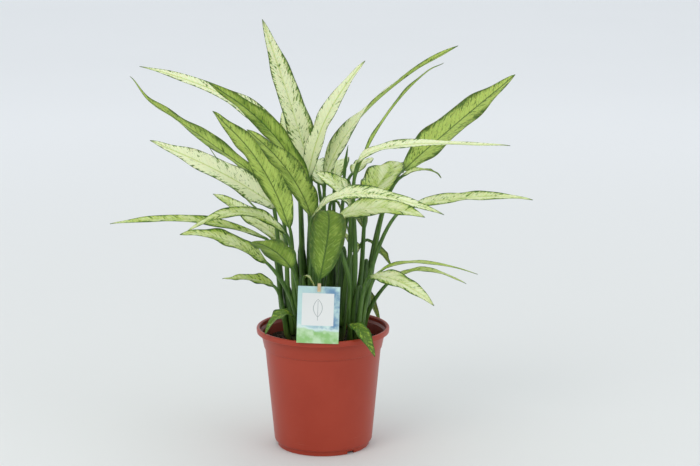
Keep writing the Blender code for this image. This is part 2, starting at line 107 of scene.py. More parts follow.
# Each leaf: its cane, the height of its foot, where its blade starts, passes and ends, the
# blade's width, and its roll at the start and the end in degrees.
LEAVES = {
    "far_left_top": ("left_back", 70, (-44, 20, 264), (-120, 45, 336), (-260, 50, 388), 36, -45, -20),
    "left_green": ("middle", 90, (-18, -10, 220), (-77, -15, 310), (-156, -25, 370), 40, 40, 60),
    "left_long": ("left", 80, (-88, 26, 231), (-182, 28, 298), (-270, 20, 360), 36, 50, 20),
    "front_left_high": ("left_front", 85, (-45, -56, 176), (-86, -84, 273), (-143, -130, 342), 50, 20, 30),
    "front_mid_high": ("left_front", 65, (-14, -62, 193), (-46, -120, 268), (-95, -180, 328), 50, 0, 15),
    "left_cream": ("left", 55, (-64, -24, 198), (-140, -60, 254), (-233, -75, 298), 46, -50, -40),
    "left_edge": ("left_back", 92, (-66, 28, 166), (-113, 26, 206), (-161, 20, 280), 14, 0, 0),
    "left_back_low": ("left_back", 33, (-58, 54, 131), (-107, 86, 165), (-165, 130, 192), 38, -15, -15),
    "far_left": ("left", 52, (-82, -6, 151), (-188, 0, 176), (-301, 0, 168), 22, -20, -30),
    "left_arch": ("left_front", 64, (-52, -42, 164), (-113, -50, 196), (-187, -65, 170), 26, -30, -30),
    "left_low": ("left_front", 43, (-78, -54, 126), (-132, -75, 162), (-193, -95, 176), 38, -35, -20),
    "front_left_grey": ("left_front", 40, (-42, -84, 126), (-67, -130, 161), (-93, -185, 181), 46, 20, 20),
    "low_left": ("left", 15, (-70, -16, 84), (-104, -4, 92), (-144, 10, 86), 26, -20, -10),
    "card_back": ("front", 30, (-24, -66, 108), (-17, -69, 106), (-9, -67, 88), 14, 0, 0),
    "in_pot": ("left_front", 5, (-42, -55, 50), (-60, -62, 52), (-80, -66, 28), 30, -10, -10),
    "front_centre": ("front", 35, (-3, -76, 108), (10, -118, 188), (6, -186, 222), 52, -10, 0),
    "cream_arch": ("front", 60, (-12, -72, 194), (52, -128, 236), (163, -155, 210), 34, 30, 20),
    "under_arch": ("right_front", 70, (20, -44, 186), (76, -72, 206), (141, -85, 197), 42, 35, 30),
    "small_hang": ("back", 85, (44, 20, 193), (52, 46, 174), (60, 76, 148), 28, 0, 0),
    "round_back": ("right", 85, (66, 6, 204), (90, 50, 233), (106, 100, 242), 62, 0, 0),
    "right_big": ("right", 77, (115, 75, 235), (193, 75, 304), (274, 60, 374), 58, -50, -50),
    "right_small": ("right", 22, (113, 38, 232), (145, 60, 238), (171, 72, 226), 22, 0, 0),
    "far_right": ("right_front", 40, (120, 0, 194), (207, -5, 209), (295, -15, 208), 28, 25, 20),
    "right_thin": ("right_front", 80, (50, -27, 262), (112, -37, 288), (259, -45, 286), 26, 25, 15),
    "right_narrow": ("right_middle", 95, (48, 0, 245), (100, 13, 336), (170, 20, 401), 22, -20, -20),
    "cream_right": ("middle", 120, (4, 13, 230), (62, 24, 328), (190, 25, 422), 46, 45, -40),
    "cream_up": ("middle", 135, (-20, 8, 233), (5, 24, 317), (60, 44, 396), 36, 20, 20),
    "top": ("left_back", 100, (-19, 44, 240), (-47, 53, 336), (-86, 66, 451), 48, -30, -40),
    "back_a": ("back", 100, (-7, 64, 217), (-14, 110, 241), (-24, 170, 221), 40, 0, 0),
    "back_b": ("back", 70, (16, 84, 217), (20, 130, 240), (26, 190, 220), 40, 0, 0),
    "back_c": ("back", 80, (42, 88, 228), (58, 104, 240), (72, 130, 243), 30, 0, 0),
    "inner": ("middle", 110, (0, 34, 220), (-7, 54, 230), (-16, 80, 236), 24, 0, 0),
    "right_low": ("right_front", 25, (68, -62, 108), (107, -95, 107), (153, -115, 81), 32, 25, 25),
    "right_thin_high": ("right_front", 36, (78, -46, 109), (129, -50, 125), (216, -57, 111), 14, 10, 10),
    "right_thin_low": ("right", 20, (96, 0, 87), (145, 5, 102), (204, 0, 81), 18, 10, 10),
    "right_back": ("back", 45, (66, 52, 136), (80, 66, 120), (100, 90, 88), 24, 0, 0),
    "over_back": (
        "right", 12,
        past_lip(47, -19, 68), past_lip(51, 10, 46), past_lip(53, 44, -1),
        20, 0, 0,
    ),
    "over_front": (
        "right_front", 8,
        past_lip(-55, -25, 38), past_lip(-56, 4, 33), past_lip(-55, 32, 4),
        24, 10, 10,
    ),
    "mid_small": ("right_middle", 45, (46, 16, 124), (41, 30, 138), (30, 50, 146), 18, 0, 0),
    "behind_top": ("left_back", 85, (-36, 76, 228), (-47, 98, 276), (-60, 120, 316), 38, -20, -20),
    "centre_hang": ("right_middle", 75, (18, 34, 197), (26, 36, 183), (38, 38, 145), 24, 0, 0),
    "centre_fold": ("right_middle", 70, (41, -22, 200), (22, -28, 229), (-9, -30, 247), 38, -40, -50),
}

SPEAR = ("right_middle", 130, (30, 2, 224), (32, 0, 255), (36, -4, 283))
SPEAR_RADIUS = 3 * MM

# How cream each leaf's blade is, and how thickly it is flecked, both from 0 to 1.
LOOKS = {
    "far_left_top": (0.9, 0.5),
    "left_green": (0.35, 0.7),
    "left_long": (0.5, 0.7),
    "front_left_high": (0.6, 0.6),
    "front_mid_high": (0.5, 0.8),
    "left_cream": (0.9, 0.4),
    "left_edge": (0.3, 0.5),
    "left_back_low": (0.5, 0.6),
    "far_left": (0.3, 1.0),
    "left_arch": (0.4, 0.9),
    "left_low": (0.35, 1.0),
    "front_left_grey": (0.15, 0.6),
    "low_left": (0.3, 0.6),
    "card_back": (0.4, 0.5),
    "in_pot": (0.0, 0.9),
    "front_centre": (0.0, 0.6),
    "cream_arch": (0.6, 0.8),
    "under_arch": (0.45, 0.5),
    "small_hang": (0.3, 0.6),
    "round_back": (0.35, 0.5),
    "right_big": (0.8, 0.9),
    "right_small": (0.4, 0.5),
    "far_right": (0.5, 0.7),
    "right_thin": (0.85, 0.3),
    "right_narrow": (0.5, 0.5),
    "cream_right": (0.95, 0.5),
    "cream_up": (1.0, 0.05),
    "top": (0.7, 0.6),
    "back_a": (0.7, 0.6),
    "back_b": (0.6, 0.6),
    "back_c": (0.6, 0.5),
    "inner": (0.7, 0.5),
    "right_low": (0.5, 0.7),
    "right_thin_high": (0.2, 0.4),
    "right_thin_low": (0.3, 0.5),
    "right_back": (0.2, 0.7),
    "over_back": (0.1, 0.8),
    "over_front": (0.0, 0.9),
    "mid_small": (0.4, 0.6),
    "behind_top": (0.7, 0.5),
    "centre_hang": (0.3, 0.5),
    "centre_fold": (0.55, 0.8),
}


# ---------------------------------------------------------------- node material kit


class Shader:
    """Builds one Principled material out of sockets, so that a pattern reads as a formula."""

    def __init__(self, name, roughness=0.5, specular=0.5, coat=0.0, sheen=0.0, scatter=0.0):
        self.material = bpy.data.materials.new(name)
        self.material.use_nodes = True
        self.tree = self.material.node_tree
        self.shader = self.tree.nodes["Principled BSDF"]
        fixed = {
            "Roughness": roughness,
            "Specular IOR Level": specular,
            "Coat Weight": coat,
            "Coat Roughness": 0.25,
            "Sheen Weight": sheen,
            "Subsurface Weight": scatter,
            "Subsurface Scale": 0.002,
        }
        for key, value in fixed.items():
            self.shader.inputs[key].default_value = value

    def put(self, socket, value):
        if isinstance(value, bpy.types.NodeSocket):
            self.tree.links.new(value, socket)
        elif isinstance(value, tuple) and socket.type == "RGBA":
            socket.default_value = (*value, 1)
        else:
            socket.default_value = value

    def node(self, kind, *values, **settings):
        made = self.tree.nodes.new("ShaderNode" + kind)
        for key, value in settings.items():
            setattr(made, key, value)
        for socket, value in zip(made.inputs, values):
            self.put(socket, value)
        return made

    def uv(self, name):
        parts = self.node("SeparateXYZ", self.node("UVMap", uv_map=name).outputs[0])
        return parts.outputs[0], parts.outputs[1]

    def place(self):
        """The point on the object, in metres, and its three coordinates."""
        point = self.node("TexCoord").outputs["Object"]
        return (point, *self.node("SeparateXYZ", point).outputs)

    def join(self, x, y, z=0.0):
        return self.node("CombineXYZ", x, y, z).outputs[0]

    def maths(self, operation, a, b=0.0):
        return self.node("Math", a, b, operation=operation).outputs[0]

    def add(self, *terms):
        total = terms[0]
        for term in terms[1:]:
            total = self.maths("ADD", total, term)
        return total

    def times(self, a, b):
        return self.maths("MULTIPLY", a, b)

    def step(self, value, low, high, at_low=0.0, at_high=1.0):
        return self.node(
            "MapRange", value, low, high, at_low, at_high, interpolation_type="SMOOTHSTEP"
        ).outputs[0]

    def noise(self, vector, scale=1.0, detail=2.0):
        made = self.node("TexNoise")
        self.put(made.inputs["Vector"], vector)
        made.inputs["Scale"].default_value = scale
        made.inputs["Detail"].default_value = detail
        return made.outputs["Fac"]

    def mix(self, share, a, b):
        made = self.node("Mix", data_type="RGBA")
        for index, value in ((0, share), (6, a), (7, b)):
            self.put(made.inputs[index], value)
        return made.outputs[2]

    def finish(self, colour, height=None, distance=0.0005, strength=0.5, roughness=None):
        self.put(self.shader.inputs["Base Color"], colour)
        if roughness is not None:
            self.put(self.shader.inputs["Roughness"], roughness)
        if height is not None:
            bump = self.node("Bump")
            bump.inputs["Strength"].default_value = strength
            bump.inputs["Distance"].default_value = distance
            self.put(bump.inputs["Height"], height)
            self.put(self.shader.inputs["Normal"], bump.outputs[0])
        return self.material


# ---------------------------------------------------------------- materials

CREAM = (0.75, 0.80, 0.50)
LIME = (0.41, 0.55, 0.075)
MID_GREEN = (0.14, 0.27, 0.022)
DARK_GREEN = (0.028, 0.085, 0.012)
UNDER_PALE = (0.52, 0.68, 0.15)
UNDER_GREEN = (0.19, 0.31, 0.035)
UNDER_DARK = (0.05, 0.115, 0.02)
DUSKY_GREEN = (0.045, 0.12, 0.014)
STEM_GREEN = (0.045, 0.115, 0.014)
STEM_PALE = (0.10, 0.20, 0.028)
SHEATH_GREEN = (0.022, 0.062, 0.009)
SHEATH_PALE = (0.06, 0.13, 0.018)
EARTH_STAIN = (0.10, 0.065, 0.03)
POT_RED = (0.355, 0.036, 0.014)
POT_RED_PALE = (0.385, 0.043, 0.018)
POT_SCUFF = (0.55, 0.22, 0.15)
# painted shade colour for the pot's inner wall
POT_INSIDE_SHADE = (0.13, 0.025, 0.014)


def blade_material(name, under):
    """A blade's upper or lower face: cream to lime, flecked and edged in dark green."""
    s = Shader(name, specular=0.25, scatter=0.08)
    across, along = s.uv("share")
    width, length = s.uv("size")
    seed, cream = s.uv("vary")
    flecked, _ = s.uv("more")
    edge = s.maths("ABSOLUTE", s.add(s.times(across, 2.0), -1.0))
    reach = s.maths("ABSOLUTE", width)
    half = s.add(s.times(seed, FLECK_SEEDS), s.times(s.maths("SIGN", width), 2.7))
    vein = s.add(length, s.times(reach, -1.0), s.times(s.times(reach, reach), -9.0))

    # Patterns run along the side veins, which leave the midrib forwards.
    def pattern(by_reach, by_vein, detail):
        place = s.join(s.add(s.times(reach, by_reach), half), s.times(vein, by_vein), seed)
        return s.noise(place, 1, detail)

    broad = pattern(60, 30, 2)
    streak = pattern(18, 330, 3)
    mottle = pattern(165, 225, 1.8)
    speck = pattern(420, 560, 1)
    margin = s.step(edge, 0.45, 1.0)
    clump = s.step(broad, 0.42, 0.62)
    limit = s.add(0.755, s.times(margin, -0.14), s.times(flecked, -0.1), s.times(clump, -0.08))
    over = s.add(mottle, s.times(limit, -1.0))
    fleck = s.step(over, -0.004, 0.018)
    halo = s.step(over, -0.08, 0.02)
    dots = s.step(s.add(speck, s.times(limit, -1.0)), 0.0, 0.025)
    dark = s.maths("MAXIMUM", fleck, s.times(dots, 0.8))
    ragged = s.add(edge, s.times(mottle, 0.3), s.times(broad, 0.2), s.times(cream, -0.12))
    rim = s.maths("MAXIMUM", s.step(ragged, 1.02, 1.1), s.step(along, 0.95, 1.0))
    lively = s.add(s.times(broad, 0.6), s.times(streak, 0.4), s.times(margin, 0.16))
    patch = s.step(s.add(lively, s.times(cream, -0.55)), 0.1, 0.5)
    greener = s.step(s.add(lively, s.times(cream, -0.9)), 0.36, 0.66)
    dusky = s.step(cream, 0.0, 0.25, 1.0, 0.0)
    pale_fleck = s.times(s.step(mottle, 0.53, 0.6), dusky)
    rib = s.step(reach, 0.0005, 0.0017, 1.0, 0.0)
    neck = s.step(along, 0.0, 0.09, 1.0, 0.0)
    side_vein = s.step(s.maths("PINGPONG", vein, 0.0045), 0.0, 0.0011, 1.0, 0.0)

    if under:
        ground = s.mix(patch, UNDER_PALE, UNDER_GREEN)
        ground = s.mix(s.times(s.times(clump, margin), 0.5), ground, UNDER_DARK)
        ground = s.mix(s.times(halo, 0.45), ground, UNDER_GREEN)
        ground = s.mix(s.times(dark, 0.7), ground, UNDER_DARK)
        ground = s.mix(s.times(greener, 0.35), ground, UNDER_DARK)
        ground = s.mix(s.times(pale_fleck, 0.3), ground, UNDER_PALE)
        ground = s.mix(s.times(rib, 0.75), ground, UNDER_DARK)
        ground = s.mix(s.times(side_vein, 0.25), ground, UNDER_DARK)
    else:
        ground = s.mix(patch, CREAM, LIME)
        ground = s.mix(s.times(greener, 0.85), ground, MID_GREEN)
        ground = s.mix(s.times(dusky, 0.8), ground, DUSKY_GREEN)
        ground = s.mix(s.times(halo, 0.4), ground, MID_GREEN)
        deep = s.mix(s.step(streak, 0.4, 0.6), MID_GREEN, DARK_GREEN)
        ground = s.mix(s.times(dark, 0.92), ground, deep)
        ground = s.mix(s.times(pale_fleck, 0.55), ground, LIME)
        ground = s.mix(s.times(rib, s.times(cream, 0.6)), ground, LIME)
        ground = s.mix(s.times(side_vein, 0.1), ground, MID_GREEN)
    ground = s.mix(s.times(rim, 0.6 if under else 0.85), ground, UNDER_DARK if under else DARK_GREEN)
    ground = s.mix(s.times(neck, 0.7), ground, STEM_GREEN)
    relief = s.add(s.times(side_vein, -0.6), s.times(streak, 0.5), s.times(rib, 0.8 if under else -0.8))
    gloss = s.step(streak, 0.3, 0.7, 0.5 if under else 0.38, 0.6 if under else 0.5)
    return s.finish(ground, relief, 0.0006, 0.55, gloss)


def stem_material(name, colour, pale):
    """A smooth petiole or cane with fine lengthwise streaks."""
    s = Shader(name, specular=0.45)
    point, _, _, z = s.place()
    streak = s.noise(s.node("Mapping", point, (0, 0, 0), (0, 0, 0), (420, 420, 22)).outputs[0], 1, 3)
    blotch = s.noise(point, 60, 2)
    ground = s.mix(s.step(streak, 0.35, 0.7), colour, pale)
    low = s.step(s.add(z, s.times(blotch, 0.012)), SOIL_LEVEL + 0.006, SOIL_LEVEL + 0.03, 1.0, 0.0)
    ground = s.mix(s.times(low, 0.55), ground, EARTH_STAIN)
    return s.finish(ground, streak, 0.0004, 0.35, s.step(blotch, 0.3, 0.7, 0.34, 0.5))


def pot_material(name, inside):
    """Satin moulded plastic, a little scuffed low down, with painted shade darkening the inside."""
    s = Shader(name, specular=0.3, coat=0.15)
    point, _, _, z = s.place()
    cloud = s.noise(point, 14, 4)
    grain = s.noise(point, 900, 2)
    scratch = s.noise(s.node("Mapping", point, (0, 0, 0), (0, 0, 0.2), (30, 30, 900)).outputs[0], 1, 3)
    ground = s.mix(s.step(cloud, 0.3, 0.7), POT_RED, POT_RED_PALE)
    scuff = s.times(s.step(scratch, 0.62, 0.74), s.step(z, 0.01, 0.06, 1.0, 0.15))
    ground = s.mix(s.times(scuff, 0.2), ground, POT_SCUFF)
    if inside:
        # Painted shade: the whole inner wall is mixed towards a darker red.
        ground = s.mix(s.step(cloud, 0.4, 0.7, 0.45, 0.7), ground, POT_INSIDE_SHADE)
    gloss = s.add(s.step(cloud, 0.3, 0.7, 0.36, 0.44), s.times(scuff, 0.15))
    return s.finish(ground, s.add(grain, scratch), 0.0001, 0.25, gloss)


def earth_material(name, dark, light, scale, depth):
    """Moist soil, and with other colours its bark, fibres and perlite."""
    s = Shader(name, roughness=0.9, specular=0.25)
    point = s.place()[0]
    coarse = s.noise(point, scale, 6)
    fine = s.noise(point, scale * 6, 4)
    ground = s.mix(s.step(s.add(s.times(coarse, 0.6), s.times(fine, 0.4)), 0.38, 0.66), dark, light)
    return s.finish(ground, s.add(coarse, fine), depth, 0.9, s.step(fine, 0.3, 0.7, 0.7, 1.0))


def pick_material():
    s = Shader("pick_wood", specular=0.3)
    point = s.place()[0]
    grain = s.noise(s.node("Mapping", point, (0, 0, 0), (0, 0, 0), (1500, 1500, 60)).outputs[0], 1, 4)
    ground = s.mix(s.step(grain, 0.35, 0.65), (0.74, 0.58, 0.38), (0.55, 0.38, 0.21))
    return s.finish(ground, grain, 0.0003, 0.5, s.step(grain, 0.3, 0.7, 0.55, 0.75))


def card_material():
    """A painted blue to green landscape around a pale square with a plain leaf in it."""
    s = Shader("card_print", specular=0.35, coat=0.1)
    u, v = s.uv("share")
    spot = s.join(u, s.times(v, 1.36))
    wash = s.noise(spot, 3.2, 6)
    grain = s.noise(spot, 90, 3)
    deeper = s.step(s.add(u, s.times(wash, 0.7)), 0.45, 1.15)
    blue = s.mix(deeper, (0.50, 0.70, 0.72), (0.13, 0.27, 0.45))
    sky = s.mix(s.step(wash, 0.35, 0.62), blue, (0.55, 0.76, 0.73))
    hills = s.mix(s.step(wash, 0.4, 0.6), (0.30, 0.56, 0.20), (0.55, 0.75, 0.48))
    skyline = s.add(v, s.times(wash, -0.28), s.times(u, 0.06))
    ground = s.mix(s.step(skyline, 0.10, 0.16, 1.0, 0.0), sky, hills)
    mist = s.times(s.step(skyline, 0.13, 0.19, 1.0, 0.0), s.step(skyline, 0.10, 0.16))
    ground = s.mix(mist, ground, (0.75, 0.88, 0.85))
    off_u = s.maths("ABSOLUTE", s.add(u, -0.485))
    off_v = s.maths("ABSOLUTE", s.add(v, -0.595))
    square = s.times(s.step(off_u, 0.375, 0.381, 1.0, 0.0), s.step(off_v, 0.282, 0.287, 1.0, 0.0))
    ground = s.mix(square, ground, (0.80, 0.81, 0.80))
    tall = s.add(v, -0.62)
    bulge = s.add(0.105, s.times(s.times(tall, tall), -4.2))
    leaf = s.maths("ABSOLUTE", s.add(off_u, s.times(bulge, -1.0)))
    beside_outline = s.step(s.maths("ABSOLUTE", tall), 0.155, 0.16, 1.0, 0.0)
    outline = s.times(s.step(leaf, 0.004, 0.010, 1.0, 0.0), beside_outline)
    beside_stalk = s.step(s.maths("ABSOLUTE", s.add(tall, 0.045)), 0.17, 0.175, 1.0, 0.0)
    stalk = s.times(s.step(off_u, 0.003, 0.008, 1.0, 0.0), beside_stalk)
    ground = s.mix(s.times(s.maths("MAXIMUM", outline, stalk), 0.75), ground, (0.22, 0.26, 0.27))
    return s.finish(ground, grain, 0.00008, 0.3, s.step(grain, 0.3, 0.7, 0.42, 0.5))


def stage_material():
    s = Shader("studio_paper", roughness=0.9, specular=0.2)
    point, x, y, _ = s.place()
    cloud = s.noise(point, 0.8, 2)
    away = s.maths("SQRT", s.add(s.times(x, x), s.times(y, y)))
    paper_and_shade = s.mix(cloud, (0.93, 0.94, 0.955), (0.95, 0.96, 0.975))
    # Painted shade: the floor is grey near the middle, under the plant, and pales to white paper far out.
    paper_and_shade = s.mix(s.step(away, 0.2, 4.0, 1.0, 0.0), paper_and_shade, (0.73, 0.74, 0.73))
    return s.finish(paper_and_shade, s.noise(point, 220, 2), 0.0001, 0.1)


# ---------------------------------------------------------------- mesh helpers


def new_piece(name, points, faces, materials, slots=None, smooth=True):
    mesh = bpy.data.meshes.new(name)
    mesh.from_pydata([tuple(p) for p in points], [], faces)
    for made in materials:
        mesh.materials.append(made)
    if slots is not None:
        mesh.polygons.foreach_set("material_index", slots)
    mesh.polygons.foreach_set("use_smooth", [smooth] * len(mesh.polygons))
    mesh.update()
    piece = bpy.data.objects.new(name, mesh)
    bpy.context.scene.collection.objects.link(piece)
    return piece


def belongs(piece, slot, *nodes):
    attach(piece, "root")
    if nodes:
        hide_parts(*nodes)


def set_uv(piece, name, values):
    """A UV map from one pair for each vertex."""
    mesh = piece.data
    layer = mesh.uv_layers.new(name=name)
    corners = np.empty(len(mesh.loops), dtype=np.int32)
    mesh.loops.foreach_get("vertex_index", corners)
    layer.uv.foreach_set("vector", np.asarray(values, dtype=np.float32)[corners].ravel())


def skin(rings, closed_ends=True):
    """Faces that join rings of equal point counts, with a cap at each end."""
    size = len(rings[0])
    faces = []
    for start in range(0, (len(rings) - 1) * size, size):
        for i in range(size):
            j = (i + 1) % size
            faces.append((start + j, start + i, start + size + i, start + size + j))
    if closed_ends:
        last = (len(rings) - 1) * size
        faces.append(tuple(range(size)))
        faces.append(tuple(range(last + size - 1, last - 1, -1)))
    return faces


def smooth_step(value, low, high):
    t = min(max((value - low) / (high - low), 0.0), 1.0)
    return t * t * (3 - 2 * t)


# ---------------------------------------------------------------- canes and leaves


def above_soil(place):
    return Vector(place) * MM + Vector((0, 0, SOIL_LEVEL))


def cane_line(key):
    foot, top = CANES[key]
    return above_soil(foot), above_soil(top)


def petiole_foot(key, height, toward):
    """Where a petiole leaves its cane's side, the cane's direction, and the way out."""
    foot, top = cane_line(key)
    along = (top - foot).normalized()
    share = min(height * MM / (top.z - foot.z), 1)
    centre = foot.lerp(top, share)
    outward = toward - centre
    outward = (outward - along * outward.dot(along)).normalized()
    radius = CANE_FOOT_RADIUS + (CANE_TOP_RADIUS - CANE_FOOT_RADIUS) * share
    return centre + outward * (radius + PETIOLE_FOOT_RADIUS + GAP), along, outward


def bezier(points, t):
    """A point on a Bezier curve and its direction, for three or four control points."""
    while len(points) > 2:
        points = [a.lerp(b, t) for a, b in zip(points, points[1:])]
    return points[0].lerp(points[1], t), (points[1] - points[0]).normalized()


def leaf_curves(key, height, start, middle, end):
    """The control points of the petiole and of the blade, and the sheath's directions."""
    start, middle, end = (above_soil(place) for place in (start, middle, end))
    bend = middle * 2 - (start + end) / 2
    foot, along, outward = petiole_foot(key, height, start)
    reach = (start - foot).length
    leaving = (bend - start).normalized()
    petiole = [foot, foot + along * reach * PETIOLE_RISE, start - leaving * reach * PETIOLE_BEND, start]
    return petiole, [start, bend, end], along, outward


def blade_profile(t):
    """Share of the full width along a lance-shaped blade with a drawn-out tip."""
    return math.sin(math.pi * t**0.78) ** 0.7 * (1 - 0.2 * t)


def leaf_ring(centre, tangent, level, roll, half_width, half_thickness, flat, lift):
    """One ring of a leaf: an oval where flat is 0, a thin blade section where it is 1."""
    side = (level - tangent * level.dot(tangent)).normalized()
    side = Matrix.Rotation(roll, 3, tangent) @ side
    upper = side.cross(tangent)
    points, shares = [], []
    for k in range(2 * HALF_RING):
        angle = math.pi * k / HALF_RING
        straight = 1 - 2 * k / HALF_RING if k <= HALF_RING else 2 * k / HALF_RING - 3
        face = 0 if k % HALF_RING == 0 else math.copysign(1, HALF_RING - k)
        across = math.cos(angle) * (1 - flat) + straight * flat
        height = (math.sin(angle) * (1 - flat) + face * flat) * half_thickness
        height += lift(across, face) * flat
        points.append(centre + side * across * half_width + upper * height)
        shares.append(across)
    return points, shares


def no_lift(across, face):
    return 0.0


def sheath_rings(foot, along, outward, level, height):
    """The petiole's clasping foot, which runs down its cane and sinks into it."""
    run = min(SHEATH_RUN, height * MM - 1 * MM)
    rings = []
    for i in range(SHEATH_STATIONS):
        rest = 1 - i / SHEATH_STATIONS
        centre = foot - along * run * rest - outward * 6 * MM * rest**1.6
        wide = PETIOLE_FOOT_RADIUS * (1 + 0.5 * rest)
        rings.append(leaf_ring(centre, along, level, 0, wide, PETIOLE_FOOT_RADIUS, 0, no_lift))
    return rings


def leaf(name, row, number, materials):
    key, height, start, middle, end, width, start_roll, end_roll = row
    petiole, blade, along, outward = leaf_curves(key, height, start, middle, end)
    level = blade[-1] - blade[0]
    level = Vector((level.y, -level.x, 0)).normalized()
    phase = number * 1.7
    curl = TIP_CURLS.get(name, 2.5 * math.sin(phase)) * MM
    rings = sheath_rings(petiole[0], along, outward, level, height)
    runs = [(-1.0, -0.2)] * len(rings)
    for i in range(PETIOLE_STATIONS):
        t = i / PETIOLE_STATIONS
        centre, tangent = bezier(petiole, t)
        radius = PETIOLE_FOOT_RADIUS + (PETIOLE_TOP_RADIUS - PETIOLE_FOOT_RADIUS) * t
        roll = math.radians(start_roll) * t
        rings.append(leaf_ring(centre, tangent, level, roll, radius, radius, 0, no_lift))
        runs.append((-1.0 + t, -0.1))
    length, before = 0.0, blade[0]
    for i in range(BLADE_STATIONS + 1):
        t = i / BLADE_STATIONS
        centre, tangent = bezier(blade, t)
        length += (centre - before).length
        before = centre
        centre = centre + Vector((0, 0, curl * smooth_step(t, 0.8, 1) ** 2))
        flat = smooth_step(t, 0, NECK_SHARE)
        neck = PETIOLE_TOP_RADIUS * (1 - t / NECK_SHARE)
        uneven = 1 + 0.05 * noise.noise(Vector((t * 7, phase, 0)))
        half_width = max(width / 2 * MM * blade_profile(t) * uneven, neck, 0.3 * MM)
        half_thickness = max(LEAF_THICKNESS / 2 * (1 - 0.5 * t), neck)
        roll = math.radians(start_roll + (end_roll - start_roll) * t)

        def lift(across, face):
            off = abs(across)
            way = math.copysign(1, across)
            reach = off * half_width
            cup = reach * math.tan(FOLD) * (1 - FOLD_EASE * off)
            wave = math.sin(15 * t + phase + way * 1.3) + 0.3 * math.sin(29 * t + phase * 2 + way)
            wave *= 0.12 * half_width * off**3
            quilt = QUILT_HEIGHT * math.sin((length - reach) * math.tau / QUILT_SPACING)
            quilt *= 4 * off * (1 - off)
            rib = (0.35 if face > 0 else 0.9) * MM * (1 - 0.6 * t)
            rib *= math.exp(-((reach / (1.5 * MM)) ** 2))
            return cup + wave + quilt * min(1, half_width / 0.012) - rib

        rings.append(leaf_ring(centre, tangent, level, roll, half_width, half_thickness, flat, lift))
        runs.append((t, half_width, length))
    finish_leaf(name, rings, runs, number, materials)


def finish_leaf(name, rings, runs, number, materials):
    """Skins the rings, picks each face's material and stores the pattern's coordinates."""
    cream, flecked = LOOKS[name]
    size = 2 * HALF_RING
    first_blade = len(rings) - BLADE_STATIONS - 1
    points = [p for ring, _ in rings for p in ring]
    faces = skin([ring for ring, _ in rings])
    slots = []
    for station in range(len(rings) - 1):
        for k in range(size):
            slots.append(2 if station < first_blade else int(k >= HALF_RING))
    slots += [2, 0]
    piece = new_piece("leaf_" + name, points, faces, materials, slots)
    share, metres = [], []
    for (ring, across), run in zip(rings, runs):
        in_blade = len(run) == 3
        for a in across:
            share.append(((a + 1) / 2, max(run[0], 0)))
            metres.append((a * run[1], run[2]) if in_blade else (0.0, 0.0))
    set_uv(piece, "share", share)
    set_uv(piece, "size", metres)
    set_uv(piece, "vary", [(number, cream)] * len(points))
    set_uv(piece, "more", [(flecked, 0)] * len(points))
    sharpen_margins(piece.data, size, first_blade)
    belongs(piece, "leaf", "leaf_" + name)


def sharpen_margins(mesh, size, first_blade):
    """Keeps a blade's two faces from shading into each other round its thin edge."""
    ends = np.empty(len(mesh.edges) * 2, dtype=np.int32)
    mesh.edges.foreach_get("vertices", ends)
    ends = ends.reshape(-1, 2)
    on_margin = (ends % HALF_RING == 0).all(axis=1) & (ends[:, 0] % size == ends[:, 1] % size)
    on_margin &= (ends // size >= first_blade + 3).all(axis=1)
    mark = mesh.attributes.new("sharp_edge", "BOOLEAN", "EDGE")
    mark.data.foreach_set("value", on_margin)


def spear(materials):
    """The rolled new leaf, whose free edge winds once round it."""
    petiole, blade, along, outward = leaf_curves(*SPEAR)
    level = Vector((1, 0, 0))
    rings = sheath_rings(petiole[0], along, outward, level, SPEAR[1])
    for i in range(PETIOLE_STATIONS):
        centre, tangent = bezier(petiole, i / PETIOLE_STATIONS)
        radius = PETIOLE_TOP_RADIUS
        rings.append(leaf_ring(centre, tangent, level, 0, radius, radius, 0, no_lift))
    for i in range(BLADE_STATIONS + 1):
        t = i / BLADE_STATIONS
        centre, tangent = bezier(blade, t)
        swell = (SPEAR_RADIUS - PETIOLE_TOP_RADIUS) * math.sin(math.pi * t)
        radius = PETIOLE_TOP_RADIUS + (0.3 * MM - PETIOLE_TOP_RADIUS) * t**2 + swell
        ring, across = leaf_ring(centre, tangent, level, 0, radius, radius, 0, no_lift)
        for k, point in enumerate(ring):
            turn = (k / len(ring) + t * 0.8) % 1
            ring[k] = centre + (point - centre) * (0.82 + 0.18 * turn)
        rings.append((ring, across))
    rings = [ring for ring, _ in rings]
    piece = new_piece("leaf_spear", [p for ring in rings for p in ring], skin(rings), materials)
    belongs(piece, "leaf", "leaf_spear")


def cane(key, made):
    """A stem wrapped in leaf sheaths: ringed where leaves were, with a blunt torn top."""
    foot, top = cane_line(key)
    along = (top - foot).normalized()
    side = along.cross(Vector((0, 1, 0))).normalized()
    upper = side.cross(along)
    length = (top - foot).length
    bottom = -CANE_SINK / length
    phase = len(key) * 1.3
    rings = []
    for i in range(CANE_STATIONS + 1):
        share = bottom + (CANE_END - bottom) * i / CANE_STATIONS
        radius = CANE_FOOT_RADIUS + (CANE_TOP_RADIUS - CANE_FOOT_RADIUS) * max(share, 0)
        radius *= min(1, 0.3 + math.sqrt(max(CANE_END - share, 0)) * 1.6)
        swelling = math.cos(share * length * math.tau / CANE_RING_SPACING + phase)
        ridge = 0.5 * MM * max(0, swelling) ** 12
        centre = foot + along * length * share
        ring = []
        for k in range(CANE_SIDES):
            angle = math.tau * k / CANE_SIDES
            fluted = 0.035 * radius * math.sin(4 * angle + share * 3 + phase)
            bumpy = 0.5 * MM * noise.noise(Vector((math.cos(angle), math.sin(angle), share * 9 + phase)))
            out = radius + ridge + fluted + bumpy - 0.4 * MM
            ring.append(centre + side * out * math.cos(angle) + upper * out * math.sin(angle))
        rings.append(ring)
    name = "cane_" + key
    piece = new_piece(name, [p for r in rings for p in r], skin(rings), [made])
    belongs(piece, "stem", name)


# ---------------------------------------------------------------- pot, soil and label

